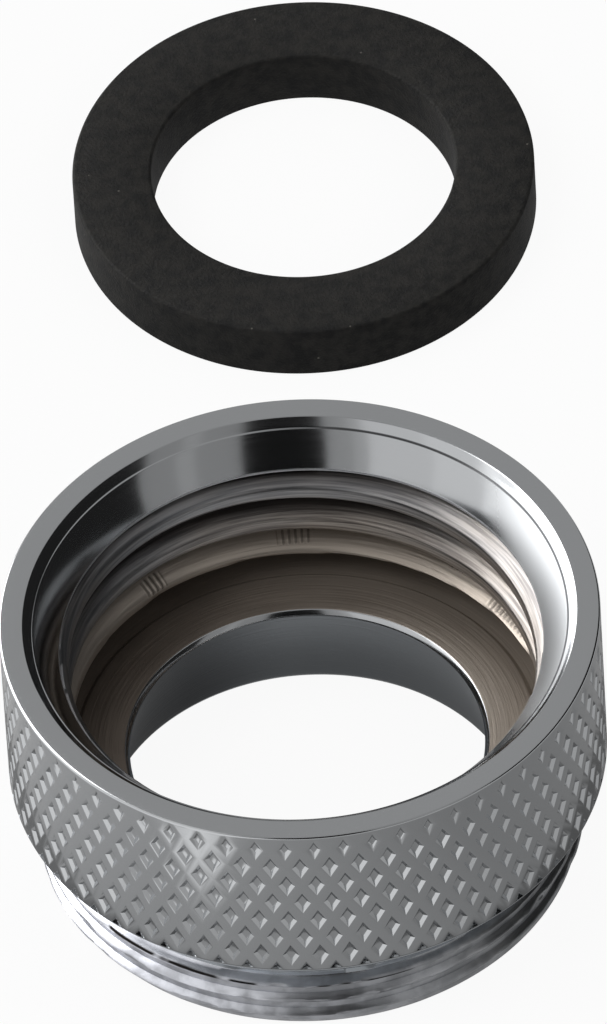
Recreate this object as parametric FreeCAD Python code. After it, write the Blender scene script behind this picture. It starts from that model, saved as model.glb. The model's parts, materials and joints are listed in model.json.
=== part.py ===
import FreeCAD, Part
import math
import os

# A thread reducer for taps and hoses, turned from brass bar, with its loose flat washer.
# Millimetres and degrees. The body stands on its spigot, its axis is Z, and z = 0 is the spigot's end face.

# Outside of the body
GRIP_DIAMETER = 24.0
GRIP_HEIGHT = 8.1
SPIGOT_HEIGHT = 4.4
RIM_CHAMFER_WIDTH = 0.12
RIM_CHAMFER_HEIGHT = 0.15
GRIP_BEVEL_WIDTH = 0.25
GRIP_BEVEL_HEIGHT = 0.4

# Male thread of the spigot, a fine one, drawn at its crests
MALE_THREAD_DIAMETER = 22.0
MALE_THREAD_HEIGHT = 2.6
MALE_END_CHAMFER = 0.6
NECK_DEPTH = 0.45
THREAD_RUN_OUT_ANGLE = 30.0

# Female thread of the socket, a half inch parallel pipe thread, its turns drawn as rings of their true section
FEMALE_CREST_DIAMETER = 18.631
FEMALE_ROOT_DIAMETER = 20.955
FEMALE_FLANK_ANGLE = 27.5
FEMALE_PITCH = 1.814
LAST_CREST_WIDTH = 0.21

# Mouth of the socket, above the thread
MOUTH_DIAMETER = 22.1
MOUTH_BEVEL_WIDTH = 0.39
MOUTH_BEVEL_HEIGHT = 0.34
CONE_HALF_ANGLE = 36.5
LIP_DEPTH = 1.75

# Washer seat and water way
SEAT_DEPTH = 7.35
SEAT_DIAMETER = 18.4
SEAT_RAISE = 0.15
RELIEF_HEIGHT = 1.1
RELIEF_CLEARANCE = 0.1
BORE_DIAMETER = 14.2
BORE_END_DIAMETER = 16.9

# Diamond knurl of the grip: pits between two crossing sets of helical lands
KNURL_COUNT = 64
KNURL_HALF_ANGLE = 30.0
KNURL_PIT_DEPTH = 0.3
KNURL_LAND_WIDTH = 0.32
KNURL_TOP_MARGIN = 0.77
KNURL_BOTTOM_MARGIN = 0.42
KNURL_LEAD_IN_SHARE = 0.7
KNURL_OVERCUT = 0.03

# Flat rubber washer, lying by itself behind the body
WASHER_DIAMETER = 19.0
WASHER_HOLE_DIAMETER = 12.5
WASHER_THICKNESS = 2.5
WASHER_GAP = 13.2
WASHER_SIDE_OFFSET = 1.3

BODY_HEIGHT = GRIP_HEIGHT + SPIGOT_HEIGHT
GRIP_RADIUS = GRIP_DIAMETER / 2
SHOULDER_Z = SPIGOT_HEIGHT


def turned(points):
    """One turn about Z of a closed half section, given as (radius, height) points."""
    corners = [FreeCAD.Vector(radius, 0, height) for radius, height in points]
    wire = Part.makePolygon(corners + corners[:1])
    return Part.Face(wire).revolve(FreeCAD.Vector(0, 0, 0), FreeCAD.Vector(0, 0, 1), 360)


def grip_corners(radius, height):
    """The grip's outline at one height, with as many narrow flats as the knurl has pits in a row."""
    corners = []
    for corner in range(KNURL_COUNT):
        turn = 2 * math.pi * corner / KNURL_COUNT
        corners.append(FreeCAD.Vector(radius * math.cos(turn), radius * math.sin(turn), height))
    return corners


def grip_blank():
    """The grip before knurling, with its bevel above the shoulder and its chamfer under the rim."""
    outlines = [
        grip_corners(GRIP_RADIUS - GRIP_BEVEL_WIDTH, SHOULDER_Z),
        grip_corners(GRIP_RADIUS, SHOULDER_Z + GRIP_BEVEL_HEIGHT),
        grip_corners(GRIP_RADIUS, BODY_HEIGHT - RIM_CHAMFER_HEIGHT),
        grip_corners(GRIP_RADIUS - RIM_CHAMFER_WIDTH, BODY_HEIGHT),
    ]
    rings = [outlines[0], outlines[-1]]
    for lower, upper in zip(outlines, outlines[1:]):
        for place in range(len(lower)):
            rings.append([lower[place - 1], lower[place], upper[place], upper[place - 1]])
    faces = [Part.Face(Part.makePolygon(ring + ring[:1])) for ring in rings]
    return Part.Solid(Part.makeShell(faces))


def spigot():
    """The smaller male end: end chamfer, thread at its crests and the neck up to the grip's shoulder."""
    male = MALE_THREAD_DIAMETER / 2
    neck = male - NECK_DEPTH
    neck_ramp = NECK_DEPTH * math.tan(math.radians(THREAD_RUN_OUT_ANGLE))
    return turned(
        [
            (0, 0),
            (male - MALE_END_CHAMFER, 0),
            (male, MALE_END_CHAMFER),
            (male, MALE_THREAD_HEIGHT),
            (neck, MALE_THREAD_HEIGHT + neck_ramp),
            (neck, SHOULDER_Z),
            (0, SHOULDER_Z),
        ]
    )


def female_thread(start_z, lip, lip_z):
    """The thread's section from the relief up to the lip, whose underside is the roof of the first groove."""
    flank = math.tan(math.radians(FEMALE_FLANK_ANGLE))
    crest = FEMALE_CREST_DIAMETER / 2
    root = FEMALE_ROOT_DIAMETER / 2
    half_groove = (root - crest) * flank
    points = [(crest, start_z)]
    crest_top_z = start_z + LAST_CREST_WIDTH
    while crest_top_z + FEMALE_PITCH < lip_z:
        points.append((crest, crest_top_z))
        points.append((root, crest_top_z + half_groove))
        points.append((crest, crest_top_z + 2 * half_groove))
        crest_top_z += FEMALE_PITCH
    first_root = (crest + lip + (lip_z - crest_top_z) / flank) / 2
    points.append((crest, crest_top_z))
    points.append((first_root, crest_top_z + (first_root - crest) * flank))
    return points


def socket_and_bore():
    """Everything that is bored out of the body, from the mouth down to the flared end of the water way."""
    mouth = MOUTH_DIAMETER / 2
    cone_top = mouth - MOUTH_BEVEL_WIDTH
    cone_top_z = BODY_HEIGHT - MOUTH_BEVEL_HEIGHT
    lip = cone_top - (LIP_DEPTH - MOUTH_BEVEL_HEIGHT) * math.tan(math.radians(CONE_HALF_ANGLE))
    lip_z = BODY_HEIGHT - LIP_DEPTH

    seat_z = BODY_HEIGHT - SEAT_DEPTH
    seat_edge = SEAT_DIAMETER / 2
    relief = FEMALE_ROOT_DIAMETER / 2 + RELIEF_CLEARANCE
    thread_end_z = seat_z + RELIEF_HEIGHT
    bore = BORE_DIAMETER / 2
    return turned(
        [
            (0, 0),
            (BORE_END_DIAMETER / 2, 0),
            (bore, seat_z),
            (seat_edge, seat_z),
            (seat_edge + SEAT_RAISE, seat_z - SEAT_RAISE),
            (relief, seat_z - SEAT_RAISE),
            (relief, thread_end_z),
            *female_thread(thread_end_z, lip, lip_z),
            (lip, lip_z),
            (cone_top, cone_top_z),
            (mouth, BODY_HEIGHT),
            (0, BODY_HEIGHT),
        ]
    )


def knurl_pit(pit_width, pit_height, depth):
    """A pyramid that points at the axis, its diamond base standing just outside the grip at y = 0."""
    grown = 1 + KNURL_OVERCUT / depth
    x_out = GRIP_RADIUS + KNURL_OVERCUT
    half_width = pit_width / 2 * grown
    half_height = pit_height / 2 * grown
    base = [
        FreeCAD.Vector(x_out, half_width, 0),
        FreeCAD.Vector(x_out, 0, half_height),
        FreeCAD.Vector(x_out, -half_width, 0),
        FreeCAD.Vector(x_out, 0, -half_height),
    ]
    tip = FreeCAD.Vector(GRIP_RADIUS - depth, 0, 0)
    faces = [Part.Face(Part.makePolygon(base + base[:1]))]
    for start, end in zip(base, base[1:] + base[:1]):
        faces.append(Part.Face(Part.makePolygon([start, end, tip, start])))
    return Part.Solid(Part.makeShell(faces))


def knurl_pits():
    """Every pit of the knurl: staggered rows round the grip, the last row cut off by the tool's edge."""
    cell_width = 2 * math.pi * GRIP_RADIUS / KNURL_COUNT
    cell_height = cell_width / math.tan(math.radians(KNURL_HALF_ANGLE))
    land_across = cell_width * math.cos(math.radians(KNURL_HALF_ANGLE))
    pit_share = 1 - KNURL_LAND_WIDTH / land_across
    first_z = BODY_HEIGHT - KNURL_TOP_MARGIN
    end_z = SHOULDER_Z + KNURL_BOTTOM_MARGIN
    row_step = cell_height / 2
    row_count = round((first_z - end_z) / row_step) + 1

    plain = knurl_pit(cell_width * pit_share, cell_height * pit_share, KNURL_PIT_DEPTH)
    lead_in = knurl_pit(
        cell_width * pit_share * KNURL_LEAD_IN_SHARE,
        cell_height * pit_share * KNURL_LEAD_IN_SHARE,
        KNURL_PIT_DEPTH * KNURL_LEAD_IN_SHARE,
    )
    above_tool_edge = Part.makeCylinder(GRIP_DIAMETER, BODY_HEIGHT, FreeCAD.Vector(0, 0, end_z))
    pits = []
    for row in range(row_count):
        pit = (lead_in if row == 0 else plain).copy()
        pit.translate(FreeCAD.Vector(0, 0, first_z - row * row_step))
        if pit.BoundBox.ZMin < end_z:
            pit = pit.common(above_tool_edge).Solids[0]
        for place in range(KNURL_COUNT):
            turn = (place + (row % 2) / 2) * 360 / KNURL_COUNT
            one = pit.copy()
            one.rotate(FreeCAD.Vector(0, 0, 0), FreeCAD.Vector(0, 0, 1), turn)
            pits.append(one)
    return pits


def reducer_body():
    """The one turned piece: grip and spigot, bored through, with the knurl pits rolled into the grip."""
    blank = grip_blank().fuse(spigot()).cut(socket_and_bore())
    return blank.cut(Part.makeCompound(knurl_pits()))


def sealing_washer():
    """The flat rubber washer, lying on the same surface as the spigot's end face."""
    outer = WASHER_DIAMETER / 2
    centre = FreeCAD.Vector(WASHER_SIDE_OFFSET, GRIP_RADIUS + WASHER_GAP + outer, 0)
    disc = Part.makeCylinder(outer, WASHER_THICKNESS, centre)
    return disc.cut(Part.makeCylinder(WASHER_HOLE_DIAMETER / 2, WASHER_THICKNESS, centre))


def single_solid(shape):
    """The shape's only solid, after a check that there is just one and that it is sound."""
    if len(shape.Solids) != 1 or not shape.Solids[0].isValid():
        raise ValueError("a piece is not one sound solid")
    return shape.Solids[0]


os.makedirs("parts", exist_ok=True)
pieces = {"reducer_body": reducer_body(), "sealing_washer": sealing_washer()}
for node, shape in pieces.items():
    solid = single_solid(shape)
    solid.exportStep(f"parts/{node}.step")
    print(node, "volume", round(solid.Volume, 1), "faces", len(solid.Faces))
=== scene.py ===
# %% [markdown]
# # A thread reducer and its washer
#
# The object is a short brass fitting that joins two sizes of pipe thread. Its wide end is a socket with an
# internal pipe thread, its narrow end a spigot with a fine external thread, and its grip is knurled so that
# wet fingers can turn it. It was turned from one bar and plated with nickel and chromium. A flat rubber
# washer lies beside it.
#
# The solid model is loaded first. It fixes every size, and the pieces made here only give it its surface.

# %% Load the fixed frame
import json
import math

import bmesh
import bpy
from mathutils import Matrix, Vector, noise


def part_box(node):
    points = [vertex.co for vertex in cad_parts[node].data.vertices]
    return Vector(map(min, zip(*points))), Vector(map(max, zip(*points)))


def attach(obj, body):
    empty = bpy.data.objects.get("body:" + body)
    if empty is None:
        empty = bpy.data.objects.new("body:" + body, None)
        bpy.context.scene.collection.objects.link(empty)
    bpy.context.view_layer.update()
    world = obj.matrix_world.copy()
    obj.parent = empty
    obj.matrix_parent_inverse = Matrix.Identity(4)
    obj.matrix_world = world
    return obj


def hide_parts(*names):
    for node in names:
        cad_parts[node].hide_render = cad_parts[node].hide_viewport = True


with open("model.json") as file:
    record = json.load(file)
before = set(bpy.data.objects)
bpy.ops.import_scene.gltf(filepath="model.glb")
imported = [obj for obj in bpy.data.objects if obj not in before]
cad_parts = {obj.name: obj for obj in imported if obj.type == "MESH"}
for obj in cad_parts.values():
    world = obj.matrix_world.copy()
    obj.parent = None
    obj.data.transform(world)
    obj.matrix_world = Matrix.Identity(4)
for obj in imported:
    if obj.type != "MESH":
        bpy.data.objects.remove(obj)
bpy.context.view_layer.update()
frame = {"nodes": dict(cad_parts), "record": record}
mounts = {mount["name"]: mount for mount in frame["record"]["mounts"]}
print("nodes", sorted(frame["nodes"]))

# %% [markdown]
# ## Sizes
#
# A turned part is thought of in millimetres, so the meshes are built in millimetres and shrunk to metres at
# the end. What the frame knows is read from it: the height, the grip, both thread diameters and the
# washer's place. The rest are the drawing's own sizes. Heights count up from the spigot's end face.

# %% Sizes read from the frame, in millimetres
MM = 0.001
body_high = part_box("reducer_body")[1] / MM
washer_low, washer_high = [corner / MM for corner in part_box("sealing_washer")]

BODY_HEIGHT = body_high.z
GRIP_RADIUS = body_high.x
FEMALE_CREST = mounts["socket_thread"]["dims"]["r_mm"]
MALE_CREST = mounts["spigot_thread"]["dims"]["r_mm"]
SEAT_HEIGHT = mounts["washer_seat"]["pos_m"][2] / MM
print("body height", round(BODY_HEIGHT, 2), "grip radius", round(GRIP_RADIUS, 2))

# %% Sizes of the turned section
SHOULDER_HEIGHT = 4.4
BEVEL_WIDTH = 0.25
BEVEL_HEIGHT = 0.36
NECK_DEPTH = 0.45
END_CHAMFER = 0.6
NECK_RADIUS = MALE_CREST - NECK_DEPTH
SPIGOT_END_RADIUS = MALE_CREST - END_CHAMFER

MOUTH_RADIUS = 11.05
MOUTH_BEVEL = 0.34
MOUTH_STEP = 0.05
CONE_HALF_ANGLE = math.radians(36.5)
LIP_DEPTH = 1.75
LIP_UNDERSIDE = 0.08

FEMALE_FLANK = math.tan(math.radians(27.5))

SEAT_RADIUS = 9.2
SEAT_RAISE = 0.15
RELIEF_RADIUS = 10.5775
RELIEF_HEIGHT = 1.1
THREAD_END_HEIGHT = SEAT_HEIGHT + RELIEF_HEIGHT
RELIEF_SLOPE = 0.3
RELIEF_TOP = THREAD_END_HEIGHT - (RELIEF_RADIUS - FEMALE_CREST) * RELIEF_SLOPE
BORE_RADIUS = 7.1
BORE_CHAMFER = 0.2
BORE_END_RADIUS = 8.45

CONE_TOP_RADIUS = MOUTH_RADIUS - MOUTH_BEVEL - MOUTH_STEP
CONE_TOP_HEIGHT = BODY_HEIGHT - MOUTH_BEVEL
LIP_HEIGHT = BODY_HEIGHT - LIP_DEPTH
LIP_RADIUS = CONE_TOP_RADIUS - (LIP_DEPTH - MOUTH_BEVEL) * math.tan(CONE_HALF_ANGLE)
UNDER_LIP_HEIGHT = LIP_HEIGHT - LIP_UNDERSIDE
UNDER_LIP_RADIUS = LIP_RADIUS + LIP_UNDERSIDE / FEMALE_FLANK
STRIP_END_DEPTH = 0.16
STRIP_END_HEIGHT = BODY_HEIGHT - STRIP_END_DEPTH
print("lip radius", round(LIP_RADIUS, 3), "at height", round(LIP_HEIGHT, 2))

# %% Widths of the broken corners
RIM_EDGE = 0.09
MOUTH_EDGE = 0.05
STEP_EDGE = 0.02
CONE_EDGE = 0.04
LIP_EDGE = 0.12
RELIEF_CORNER = 0.12
SEAT_FOOT_EDGE = 0.04
SEAT_EDGE = 0.05
BORE_EDGE = 0.06
SHOULDER_CORNER = 0.1
SHOULDER_EDGE = 0.08
print("broken corners from", STEP_EDGE, "to", LIP_EDGE, "mm wide")

# %% [markdown]
# ## Turned surfaces
#
# Everything but the threads and the knurl is a lathe surface: a short outline spun once round the axis.
# Each corner of the outline is bevelled before the spin, because plating fills corners and polishing wears
# them, and that thin rounded edge is what catches the light on a real fitting. All strips are spun with the
# same number of columns, so that their end rings meet vertex on vertex and can be merged.

# %% Spin an outline
KNURL_COUNT = 64
COLUMNS_PER_CELL = 6
COLUMNS = KNURL_COUNT * COLUMNS_PER_CELL
BREAK_SEGMENTS = 3


def turned_strip(corners):
    """A full spin about Z of an open outline, given as (radius, height, width of the broken corner)."""
    bm = bmesh.new()
    verts = [bm.verts.new((radius, 0, height)) for radius, height, _ in corners]
    for pair in zip(verts, verts[1:]):
        bm.edges.new(pair)
    for vert, (_, _, corner_break) in zip(verts, corners):
        if corner_break:
            bmesh.ops.bevel(
                bm, geom=[vert], offset=corner_break, offset_type="OFFSET", segments=BREAK_SEGMENTS,
                profile=0.5, affect="VERTICES", material=-1,
            )
    bmesh.ops.spin(
        bm, geom=bm.verts[:] + bm.edges[:], cent=(0, 0, 0), axis=(0, 0, 1), dvec=(0, 0, 0),
        angle=math.tau, steps=COLUMNS, use_merge=True,
    )
    return bm


mouth_strip = turned_strip(
    [
        (UNDER_LIP_RADIUS, UNDER_LIP_HEIGHT, 0),
        (LIP_RADIUS, LIP_HEIGHT, LIP_EDGE),
        (CONE_TOP_RADIUS, CONE_TOP_HEIGHT, CONE_EDGE),
        (MOUTH_RADIUS - MOUTH_BEVEL, CONE_TOP_HEIGHT, STEP_EDGE),
        (MOUTH_RADIUS, BODY_HEIGHT, MOUTH_EDGE),
        (GRIP_RADIUS, BODY_HEIGHT, RIM_EDGE),
        (GRIP_RADIUS, STRIP_END_HEIGHT, 0),
    ]
)
bore_strip = turned_strip(
    [
        (RELIEF_RADIUS, RELIEF_TOP, 0),
        (RELIEF_RADIUS, SEAT_HEIGHT - SEAT_RAISE, RELIEF_CORNER),
        (SEAT_RADIUS + SEAT_RAISE, SEAT_HEIGHT - SEAT_RAISE, SEAT_FOOT_EDGE),
        (SEAT_RADIUS, SEAT_HEIGHT, SEAT_EDGE),
        (BORE_RADIUS + BORE_CHAMFER, SEAT_HEIGHT, SEAT_EDGE),
        (BORE_RADIUS, SEAT_HEIGHT - BORE_CHAMFER, BORE_EDGE),
        (BORE_END_RADIUS, 0, SEAT_EDGE),
        (SPIGOT_END_RADIUS, 0, 0),
    ]
)
print("mouth strip", len(mouth_strip.faces), "bore strip", len(bore_strip.faces))

# %% [markdown]
# ## Screw threads
#
# A screw thread is a lathe surface whose radius also depends on the angle. A Screw modifier could sweep its
# section, but the two ends would stay open and cut through their neighbours. So a sheet is spun once round
# while it climbs by one pitch: its rows of vertices follow the helix, and the crests stay crisp. After one
# turn the last column lies on the first, one pitch higher, and merging the two closes the sheet. Each vertex
# is then pushed to the radius that the thread has there. Rows that climb out of the threaded stretch are
# pressed back on its end, where they merge into one plain ring for the neighbouring strip.

# %% Spin a climbing sheet and press it to a thread's form
MERGE_DISTANCE = 0.002


def column_angle(vert):
    """The vertex's angle about Z, snapped to the column that it stands in."""
    turn = math.atan2(vert.co.y, vert.co.x) / math.tau
    return round(turn * COLUMNS) / COLUMNS * math.tau


def thread_sheet(pitch, crest_height, phases, low, high, radius_at):
    """A helical sheet between two heights; phases are its rows, as distances above a crest's middle."""
    bm = bmesh.new()
    first_turn = math.floor((low - crest_height) / pitch) - 1
    last_turn = math.ceil((high - crest_height) / pitch)
    heights = [
        crest_height + turn * pitch + phase for turn in range(first_turn, last_turn + 1) for phase in phases
    ]
    verts = [bm.verts.new((1, 0, height)) for height in heights]
    for pair in zip(verts, verts[1:]):
        bm.edges.new(pair)
    bmesh.ops.spin(
        bm, geom=bm.verts[:] + bm.edges[:], cent=(0, 0, 0), axis=(0, 0, 1), dvec=(0, 0, pitch / COLUMNS),
        angle=math.tau, steps=COLUMNS, use_merge=False,
    )
    for vert in bm.verts:
        angle = column_angle(vert)
        height = min(max(vert.co.z, low), high)
        radius = radius_at(angle, height)
        vert.co = (radius * math.cos(angle), radius * math.sin(angle), height)
    bmesh.ops.remove_doubles(bm, verts=bm.verts[:], dist=MERGE_DISTANCE)
    return bm


def blended(first, second, softness):
    """The larger of two values, the step between them rounded; a negative softness gives the smaller one."""
    mean = (first + second) / 2
    spread = math.hypot(first - second, softness) / 2
    return mean + spread if softness > 0 else mean - spread


# %% [markdown]
# ### The socket's pipe thread
#
# A half inch parallel pipe thread has 14 turns to the inch and flanks that lean 27.5 degrees from square.
# Its crests are the bored wall, and the groove between them is cut outwards. Here the first groove opens
# under the lip of the lead-in cone, which is why it is narrow on the left and wide on the right. The phases
# below are the rows of one pitch, close together where the section bends. Two walls that meet are blended,
# so that the crest gets the small rounding that a tap leaves.

# %% Female thread
FEMALE_PITCH = 25.4 / 14
FEMALE_CREST_HALF = 0.3
FEMALE_DEPTH = 1.1
FEMALE_EDGE = 0.1
FEMALE_CREST_AT_BACK = 2.71


def distance_from_crest(angle, height, pitch, crest_height):
    """How far a point lies from the middle of the nearest crest, along the axis."""
    climbed = height - crest_height - angle / math.tau * pitch
    return abs(climbed - round(climbed / pitch) * pitch)


def socket_radius(angle, height):
    """The inner wall: the cone and the bored crest, opened by the groove, between the lip and the relief."""
    if height >= UNDER_LIP_HEIGHT:
        return UNDER_LIP_RADIUS
    if height <= RELIEF_TOP:
        return RELIEF_RADIUS
    away = distance_from_crest(angle, height, FEMALE_PITCH, female_crest_height)
    groove = FEMALE_CREST + min((away - FEMALE_CREST_HALF) / FEMALE_FLANK, FEMALE_DEPTH)
    roof = LIP_RADIUS + (LIP_HEIGHT - height) / FEMALE_FLANK
    groove = blended(groove, roof, -FEMALE_EDGE)
    cone = LIP_RADIUS - (LIP_HEIGHT - height) * math.tan(CONE_HALF_ANGLE)
    relief = RELIEF_RADIUS - (height - RELIEF_TOP) / RELIEF_SLOPE
    return min(blended(groove, max(cone, relief, FEMALE_CREST), FEMALE_EDGE), RELIEF_RADIUS)


female_crest_height = BODY_HEIGHT - FEMALE_CREST_AT_BACK - FEMALE_PITCH / 4
female_phases = [
    0, 0.12, 0.2, 0.25, 0.29, 0.33, 0.38, 0.45, 0.55, 0.66, 0.76, 0.83, 0.875, 0.907,
    0.939, 0.984, 1.054, 1.154, 1.264, 1.364, 1.434, 1.484, 1.524, 1.564, 1.614, 1.694,
]
female_sheet = thread_sheet(
    FEMALE_PITCH, female_crest_height, female_phases, RELIEF_TOP, UNDER_LIP_HEIGHT, socket_radius
)
print("female thread", len(female_sheet.faces), "faces, pitch", round(FEMALE_PITCH, 3))

# %% [markdown]
# ### The spigot's fine thread
#
# The fine thread outside is shallower, and use has knocked its crests round and a little uneven. It runs
# out into the smooth neck under the grip. It is made like the thread inside, with two octaves of noise that
# lower the crests here and there, because a thread that is even all round looks new.

# %% Male thread
MALE_PITCH = 0.86
MALE_FLANK = math.tan(math.radians(30))
MALE_CREST_HALF = 0.1
MALE_DEPTH = 0.25
MALE_EDGE = 0.2
MALE_TOP = 2.6
MALE_WEAR = 0.12
WEAR_AROUND = 6
WEAR_UP = 3
WEAR_OCTAVE = 3
NECK_RAMP_TOP = MALE_TOP + (MALE_CREST - NECK_RADIUS) * MALE_FLANK
MALE_CREST_AT_FRONT = 1.76


def spigot_radius(angle, height):
    """The outer wall of the spigot: chamfer, worn crests and groove, and the ramp up to the neck."""
    if height <= 0:
        return SPIGOT_END_RADIUS
    if height >= NECK_RAMP_TOP:
        return NECK_RADIUS
    away = distance_from_crest(angle, height, MALE_PITCH, male_crest_height)
    groove = MALE_CREST - min((away - MALE_CREST_HALF) / MALE_FLANK, MALE_DEPTH)
    chamfer = SPIGOT_END_RADIUS + height
    ramp = NECK_RADIUS + (NECK_RAMP_TOP - height) / MALE_FLANK
    place = Vector((WEAR_AROUND * math.cos(angle), WEAR_AROUND * math.sin(angle), WEAR_UP * height))
    wear = MALE_WEAR * (noise.noise(place) + noise.noise(place * WEAR_OCTAVE) / 2)
    wall = min(chamfer, ramp, MALE_CREST - max(wear, 0))
    return max(blended(groove, wall, -MALE_EDGE), min(chamfer, NECK_RADIUS))


male_crest_height = MALE_CREST_AT_FRONT + MALE_PITCH / 4
male_phases = [0, 0.06, 0.1, 0.14, 0.19, 0.25, 0.31, 0.36, 0.43, 0.5, 0.55, 0.61, 0.67, 0.72, 0.76, 0.8]
male_sheet = thread_sheet(MALE_PITCH, male_crest_height, male_phases, 0, NECK_RAMP_TOP, spigot_radius)
print("male thread", len(male_sheet.faces), "faces, pitch", MALE_PITCH)

# %% [markdown]
# ### Neck and shoulder
#
# Between the thread and the knurl lie the smooth neck, the square shoulder that a nut stops against, and a
# short bevel that keeps the grip's lower edge from being sharp. They are one more lathe outline.

# %% Neck, shoulder and the bevel below the knurl
neck_strip = turned_strip(
    [
        (NECK_RADIUS, NECK_RAMP_TOP, 0),
        (NECK_RADIUS, SHOULDER_HEIGHT, SHOULDER_CORNER),
        (GRIP_RADIUS - BEVEL_WIDTH, SHOULDER_HEIGHT, SHOULDER_EDGE),
        (GRIP_RADIUS, SHOULDER_HEIGHT + BEVEL_HEIGHT, 0),
    ]
)
print("neck strip", len(neck_strip.faces))

# %% [markdown]
# ## The diamond knurl
#
# A knurling wheel presses two crossing sets of helical lands into the grip and leaves a pit in each diamond
# between them. One diamond is modelled flat: insets make the land, the soft rim and the four facets, and a
# poke makes the tip. A staggered column of diamonds is cut off level at both ends, bent round the grip, and
# spun 64 times. The first row is only half pressed, and the last row is cut off by the edge of the tool. A
# pattern this regular could also be a bump map, but the pits are deep enough to show at the grip's outline,
# so they are real.

# %% Sizes of the knurl
KNURL_TOP_MARGIN = 0.2
KNURL_BOTTOM_MARGIN = 0.42
FIRST_ROW_DEPTH = 0.77
KNURL_TOP = BODY_HEIGHT - KNURL_TOP_MARGIN
KNURL_BOTTOM = SHOULDER_HEIGHT + KNURL_BOTTOM_MARGIN
KNURL_FIRST_ROW = BODY_HEIGHT - FIRST_ROW_DEPTH
KNURL_ROWS = 8
KNURL_HALF_ANGLE = math.radians(30)
KNURL_LAND = 0.32
CELL_WIDTH = math.tau * GRIP_RADIUS / KNURL_COUNT
CELL_HEIGHT = CELL_WIDTH / math.tan(KNURL_HALF_ANGLE)
PIT_SOFT_RIM = 0.06
PIT_WALL_RUN = 0.13
PIT_WALL_DROP = 0.12
PIT_FILLET = 0.05
PIT_HOLLOW = 0.015
LEAD_IN_EXTRA_LAND = 0.04
LEAD_IN_WALL_DROP = 0.1
print("one diamond is", round(CELL_WIDTH, 2), "mm wide and", round(CELL_HEIGHT, 2), "mm high")


# %% One diamond and one column of them
def diamond(bm, across, up, land, drop):
    """A flat diamond with a four-sided pit in it; outwards is -Y, and a drop of 0 leaves it plain."""
    corners = [(0, -1), (1, 0), (0, 1), (-1, 0)]
    verts = [bm.verts.new((across + x * CELL_WIDTH / 2, 0, up + z * CELL_HEIGHT / 2)) for x, z in corners]
    face = bm.faces.new(verts)
    bm.normal_update()
    if not drop:
        return
    insets = [
        (land, 0),
        (PIT_SOFT_RIM, -PIT_SOFT_RIM / 3),
        (PIT_WALL_RUN, -drop),
        (PIT_FILLET, -PIT_HOLLOW),
    ]
    for thickness, push in insets:
        bmesh.ops.inset_individual(bm, faces=[face], thickness=thickness, depth=push, use_even_offset=True)
    bmesh.ops.poke(bm, faces=[face], offset=-PIT_HOLLOW / 2)


def knurl_column():
    """One column of staggered diamonds, cut level at both ends of the knurl and still flat."""
    bm = bmesh.new()
    for row in range(-1, KNURL_ROWS):
        across = (row % 2) * CELL_WIDTH / 2
        up = KNURL_FIRST_ROW - row * CELL_HEIGHT / 2
        if row < 0:
            diamond(bm, across, up, 0, 0)
        elif row == 0:
            diamond(bm, across, up, KNURL_LAND / 2 + LEAD_IN_EXTRA_LAND, LEAD_IN_WALL_DROP)
        else:
            diamond(bm, across, up, KNURL_LAND / 2, PIT_WALL_DROP)
    bmesh.ops.remove_doubles(bm, verts=bm.verts[:], dist=MERGE_DISTANCE)
    for height, side in ((KNURL_TOP, 1), (KNURL_BOTTOM, -1)):
        bmesh.ops.bisect_plane(
            bm, geom=bm.verts[:] + bm.edges[:] + bm.faces[:], plane_co=(0, 0, height), plane_no=(0, 0, side),
            clear_outer=True,
        )
    return bm


knurl_sheet = knurl_column()
print("one column of the knurl", len(knurl_sheet.faces), "faces")

# %% [markdown]
# ### Round the grip
#
# The flat column becomes part of a cylinder when its width is read as an angle and its depth as a radius.
# One spin with duplicates then places all the columns, and merging their sides makes one sheet of them.
# Each diamond could be placed by a loop instead, but the operator does it in one step.

# %% Bend the column round the grip and repeat it
for vert in knurl_sheet.verts:
    angle = vert.co.x / GRIP_RADIUS - math.pi / 2
    radius = GRIP_RADIUS - vert.co.y
    vert.co = (radius * math.cos(angle), radius * math.sin(angle), vert.co.z)
bmesh.ops.spin(
    knurl_sheet, geom=knurl_sheet.verts[:] + knurl_sheet.edges[:] + knurl_sheet.faces[:],
    cent=(0, 0, 0), axis=(0, 0, 1), dvec=(0, 0, 0), angle=math.tau * (KNURL_COUNT - 1) / KNURL_COUNT,
    steps=KNURL_COUNT - 1, use_duplicate=True,
)
bmesh.ops.remove_doubles(knurl_sheet, verts=knurl_sheet.verts[:], dist=MERGE_DISTANCE)
print("knurl", len(knurl_sheet.faces), "faces")

# %% Close the knurl's lower edge, where the last row is cut off
ledge = [
    edge for edge in knurl_sheet.edges
    if edge.is_boundary and all(abs(vert.co.z - KNURL_BOTTOM) < MERGE_DISTANCE for vert in edge.verts)
]
grown = bmesh.ops.extrude_edge_only(knurl_sheet, edges=ledge)["geom"]
for vert in [item for item in grown if isinstance(item, bmesh.types.BMVert)]:
    vert.co.xy = vert.co.xy.normalized() * GRIP_RADIUS
bmesh.ops.remove_doubles(knurl_sheet, verts=knurl_sheet.verts[:], dist=MERGE_DISTANCE)
print("knurl", len(knurl_sheet.faces), "faces with its ledge")

# %% [markdown]
# ## One closed body
#
# The strips, the two threads and the knurl have been made so that their end rings coincide. They are poured
# into one mesh and merged ring on ring. The knurl has its own number of vertices round the grip, so it is
# bridged to its neighbours. The strips could stay apart and just overlap, but light would leak in between
# and the sharp seams would show. The result is a single watertight skin, as a part turned from one bar has.

# %% Join the strips
RING_REACH = 0.1


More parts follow.
